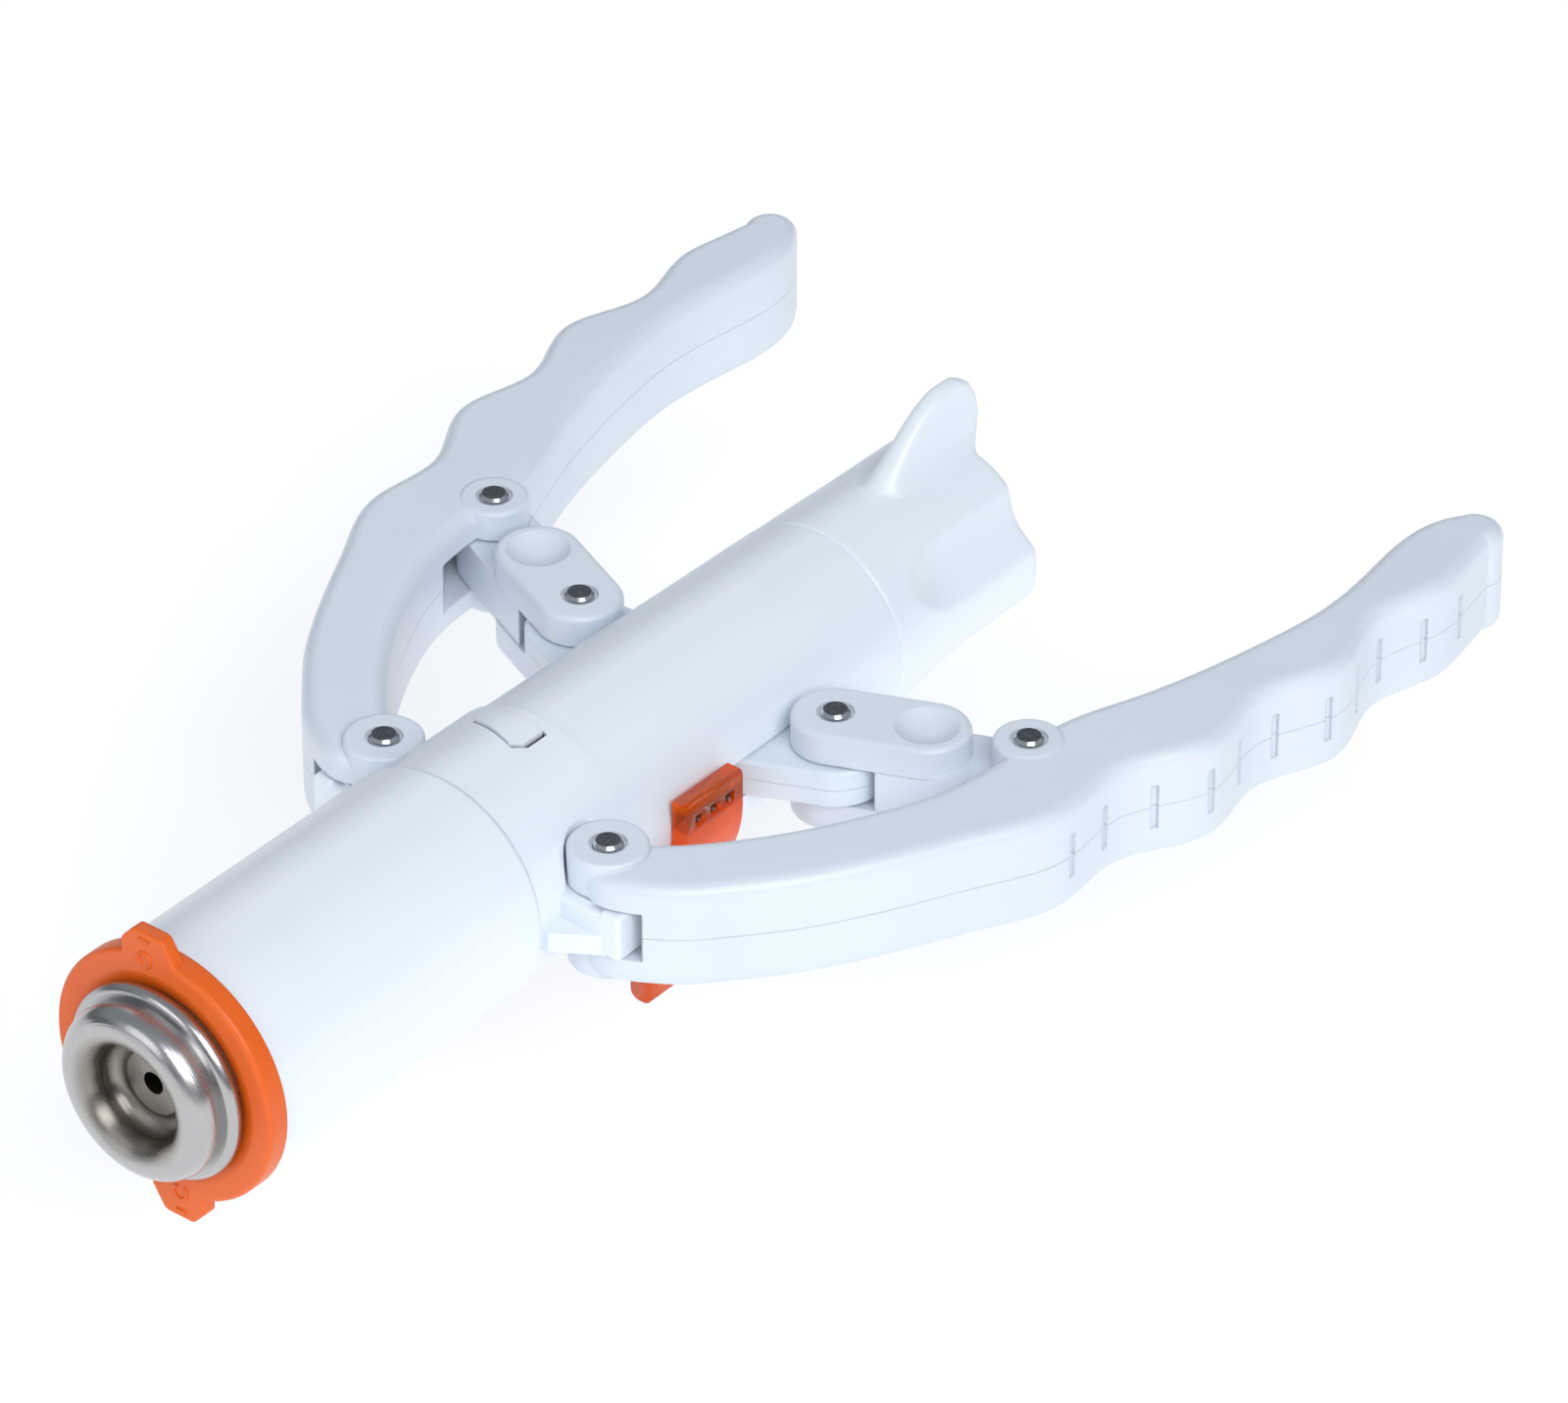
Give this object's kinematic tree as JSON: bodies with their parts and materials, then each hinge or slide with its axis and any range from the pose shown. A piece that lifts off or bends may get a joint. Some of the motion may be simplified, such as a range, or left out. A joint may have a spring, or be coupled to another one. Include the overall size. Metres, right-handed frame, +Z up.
{
  "type": "circumcision stapler",
  "caption": "Hand-held circumcision stapler: steel glans bell on a drawbar, size ring, stapling head, two squeeze handles with links, safety catch and tail knob.",
  "frame": {"origin": "on the body axis, in the front face of the size ring, inside the bell's vent bore", "axes": "+X along the body axis towards the tail knob, +Y towards the left handle, +Z up, away from the safety catch's legs"},
  "size_m": [0.1948, 0.1264, 0.0513],
  "materials": {
    "bell_steel": "satin turned and polished",
    "bar_steel": "drawn, bright",
    "knife_steel": "ground",
    "staple_wire": "drawn wire",
    "pin_steel": "dark, with a bright chamfer",
    "nut_brass": "machined",
    "ring_orange": "moulded, opaque, slightly glossy",
    "catch_orange": "moulded, translucent",
    "body_white": "moulded, cool white, glossy",
    "cartridge_white": "moulded",
    "pusher_white": "moulded",
    "washer_nylon": "turned, matt"
  },
  "bodies": {
    "housing": {"size_ring": "ring_orange", "staple_cartridge": "cartridge_white", "front_sleeve": "body_white", "front_collar": "body_white", "rear_tube": "body_white", "rear_bush": "washer_nylon", "thrust_washer": "washer_nylon", "retaining_clip": "knife_steel", "left_front_pin": "pin_steel", "right_front_pin": "pin_steel"},
    "pusher": {"staple_pusher": "pusher_white", "ring_knife": "knife_steel", "pusher_upper": "pusher_white", "pusher_lower": "pusher_white", "staples": "staple_wire"},
    "bell": {"glans_bell": "bell_steel", "drawbar": "bar_steel", "cutting_washer": "washer_nylon"},
    "knob": {"knob": "body_white", "knob_nut": "nut_brass"},
    "left_handle": {"left_handle_upper": "body_white", "left_handle_lower": "body_white", "left_handle_pin": "pin_steel"},
    "right_handle": {"right_handle_upper": "body_white", "right_handle_lower": "body_white", "right_handle_pin": "pin_steel"},
    "left_link": {"left_link": "body_white", "left_lug_pin": "pin_steel"},
    "right_link": {"right_link": "body_white", "right_lug_pin": "pin_steel"},
    "catch": {"safety_catch": "catch_orange"}
  },
  "joints": [
    {"name": "left_handle_pivot", "type": "hinge", "parent": "housing", "child": "left_handle", "pos_m": [0.0608, 0.0179, 0], "axis": [0, 0, -1], "range_deg": [0, 12]},
    {"name": "right_handle_pivot", "type": "hinge", "parent": "housing", "child": "right_handle", "pos_m": [0.0608, -0.0179, 0], "axis": [0, 0, 1], "range_deg": [0, 12.1]},
    {"name": "pusher_slide", "type": "slide", "parent": "housing", "child": "pusher", "axis": [-1, 0, 0], "range_m": [0, 0.00775]},
    {"name": "left_link_pivot", "type": "hinge", "parent": "pusher", "child": "left_link", "pos_m": [0.1013, 0.0206, 0], "axis": [0, 0, -1], "range_deg": [0, 38.6]},
    {"name": "right_link_pivot", "type": "hinge", "parent": "pusher", "child": "right_link", "pos_m": [0.1013, -0.0206, 0], "axis": [0, 0, 1], "range_deg": [0, 38.6]},
    {"name": "knob_spin", "type": "hinge", "parent": "housing", "child": "knob", "pos_m": [0.1228, 0, 0], "axis": [1, 0, 0], "range_deg": [0, 1081]},
    {"name": "bell_slide", "type": "slide", "parent": "housing", "child": "bell", "axis": [-1, 0, 0], "range_m": [0, 0.015]},
    {"name": "catch_slide", "type": "slide", "parent": "pusher", "child": "catch", "axis": [0, 0, -1], "range_m": [0, 0.025]}
  ],
  "couplings": [
    {"joint": "right_handle_pivot", "follows": "left_handle_pivot", "ratio": 1},
    {"joint": "pusher_slide", "follows": "left_handle_pivot", "m_per_rad": 0.03678},
    {"joint": "left_link_pivot", "follows": "left_handle_pivot", "ratio": 3.203},
    {"joint": "right_link_pivot", "follows": "left_handle_pivot", "ratio": 3.203},
    {"joint": "knob_spin", "follows": "bell_slide", "rad_per_m": 1256.6}
  ]
}
